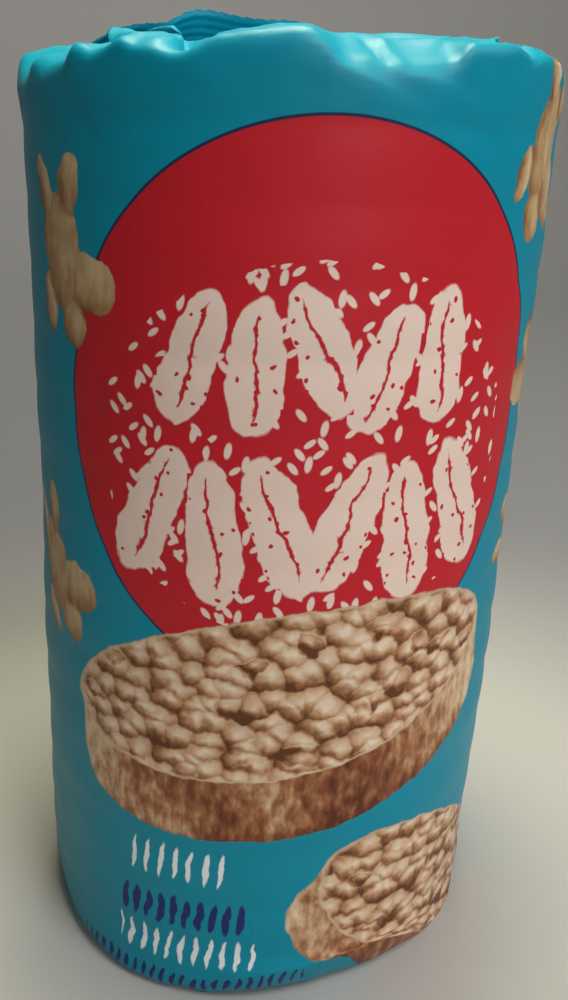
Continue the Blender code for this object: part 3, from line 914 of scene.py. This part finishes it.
# ---------------------------------------------------------------------------------------------------------
# Back seam: where the film's two long edges meet down the middle of the back, they are welded face to face
# and the doubled strip is folded flat against the pack. It runs on over the folded ends up to their crimped
# seams.
STRIP_WIDTH = 0.012
STRIP_OVER_ENDS = FREE_LENGTH - 0.003
STRIP_STEPS = 12
FILM_THICKNESS = 0.0001
STRIP_PROFILE = ((0, 0.0001), (0.08, 0.00045), (0.9, 0.0004), (1, 0.0006))  # share of the width, distance out
strip_rows = np.nonzero((ALONG > -STRIP_OVER_ENDS) & (ALONG < SHOULDER + STRIP_OVER_ENDS))[0]
deselect()
bpy.ops.mesh.primitive_grid_add(x_subdivisions=STRIP_STEPS, y_subdivisions=len(strip_rows) - 1, size=1)
strip = bpy.context.object
strip.name = "back_seam"
strip_points = read_points(strip.data)
share = strip_points[:, 0] + 0.5
strip_row = strip_rows[np.rint((strip_points[:, 1] + 0.5) * (len(strip_rows) - 1)).astype(int)]
lift = np.interp(share, *np.array(STRIP_PROFILE).T)
fine_step = 2 * math.pi / FINE_COLUMNS
from_back = (share - 0.5) * STRIP_WIDTH / FILM_RADIUS / fine_step + FINE_COLUMNS / 2
left = np.floor(from_back).astype(int)
between = (from_back - left)[:, None]
surface = grid[strip_row, left] * (1 - between) + grid[strip_row, left + 1] * between
across_film = grid[strip_row, left + 2] - grid[strip_row, left - 1]
up_film = grid[strip_row + 1, left] - grid[strip_row - 1, left]
out_of_film = np.cross(across_film, up_film)
out_of_film /= np.linalg.norm(out_of_film, axis=1)[:, None]
strip_places = surface + out_of_film * lift[:, None]
strip_places[:, 2] = np.maximum(strip_places[:, 2], FILM_THICKNESS)
strip.data.vertices.foreach_set("co", strip_places.ravel())
strip_map = strip.data.uv_layers.new(name=PRINT_MAP)
strip_bake = strip.data.uv_layers.new(name="OFBake")
for map_name in (GRAIN_MAP, POPPED_MAP):
    no_shape = [OFF_SHAPES] * (2 * len(strip.data.loops))
    strip.data.uv_layers.new(name=map_name).data.foreach_set("uv", no_shape)
for loop in strip.data.loops:
    place = share[loop.vertex_index]
    height = ALONG[strip_row[loop.vertex_index]]
    strip_map.data[loop.index].uv = (WHOLE_ROUND / 2 + (place - 0.5) * STRIP_WIDTH * 1000, height * 1000)
    up_strip = (height + STRIP_OVER_ENDS) / (SHOULDER + 2 * STRIP_OVER_ENDS)
    strip_bake.data[loop.index].uv = (0.02 + 0.06 * place, 0.02 + 0.96 * up_strip)
strip.data.update()
doubled = strip.modifiers.new("doubled", "SOLIDIFY")
doubled.thickness = 2 * FILM_THICKNESS
doubled.offset = 0
deselect()
strip.select_set(True)
bpy.context.view_layer.objects.active = strip
bpy.ops.object.modifier_apply(modifier="doubled")
strip.data.shade_smooth()
strip.data.materials.clear()
strip.data.materials.append(material)
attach(strip, "root")
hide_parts("pack")

# ---------------------------------------------------------------------------------------------------------
# Floor: a wide sweep of pale matt card to show the pack on, level under it and curving up all round it into
# a backdrop.
FLOOR_RADIUS = 1.1
SWEEP_RADIUS = 0.9
SWEEP_STEPS = 12
deselect()
bpy.ops.mesh.primitive_circle_add(vertices=96, radius=FLOOR_RADIUS, fill_type="NGON", location=(0, 0, 0))
floor = bpy.context.object
floor.name = "floor"
bpy.ops.object.mode_set(mode="EDIT")
bpy.context.tool_settings.mesh_select_mode = (False, True, False)
bpy.ops.mesh.select_all(action="DESELECT")
bpy.ops.mesh.select_non_manifold()
reach = FLOOR_RADIUS
risen = 0.0
for step in range(1, SWEEP_STEPS + 1):
    angle = step / SWEEP_STEPS * math.pi / 2
    next_reach = FLOOR_RADIUS + SWEEP_RADIUS * math.sin(angle)
    next_risen = SWEEP_RADIUS * (1 - math.cos(angle))
    bpy.ops.mesh.extrude_edges_move(TRANSFORM_OT_translate={"value": (0, 0, next_risen - risen)})
    bpy.ops.transform.resize(value=(next_reach / reach, next_reach / reach, 1))
    reach, risen = next_reach, next_risen
bpy.ops.object.mode_set(mode="OBJECT")
floor.data.shade_smooth()
floor_material = bpy.data.materials.new("pale_floor")
floor_material.use_nodes = True
floor_shader = floor_material.node_tree.nodes["Principled BSDF"]
floor_shader.inputs["Base Color"].default_value = linear("#BFBCB6")
floor_shader.inputs["Roughness"].default_value = 0.8
floor.data.materials.append(floor_material)

# ---------------------------------------------------------------------------------------------------------
# Light: a small warm lamp close over the pack's top, three wide soft white ones from the front and the right,
# and one that lights only the backdrop behind.


def soft_lamp(name, place, aim, size, power, colour, spread=180):
    data = bpy.data.lights.new(name, "AREA")
    data.size = size
    data.energy = power
    data.color = linear(colour)[:3]
    data.spread = math.radians(spread)
    lamp = bpy.data.objects.new(name, data)
    lamp.location = place
    lamp.rotation_euler = (Vector(aim) - Vector(place)).to_track_quat("-Z", "Y").to_euler()
    lamp.visible_camera = False
    bpy.context.scene.collection.objects.link(lamp)


soft_lamp("overhead", (0.01, 0.03, 0.42), (0, 0, 0.16), 0.12, 0.215, "#F6F5D6", spread=60)
soft_lamp("key", (0.35, -0.55, 0.95), (0, 0, 0.10), 0.40, 5.2, "#FFFFFF")
soft_lamp("front", (0.30, -0.95, 0.45), (0, 0, 0.10), 0.60, 2.7, "#FFFFFF")
soft_lamp("side", (0.75, -0.15, 0.75), (0, 0, 0.10), 0.50, 1.5, "#FFFFFF")
soft_lamp("backdrop", (0.0, 1.0, 1.3), (0, 1.9, 0.35), 0.8, 5.0, "#FFFFFF")
world = bpy.data.worlds.new("studio")
world.use_nodes = True
world.node_tree.nodes["Background"].inputs["Color"].default_value = (1.0, 1.0, 1.0, 1.0)
world.node_tree.nodes["Background"].inputs["Strength"].default_value = 0.05
bpy.context.scene.world = world
bpy.context.scene.view_settings.view_transform = "Standard"
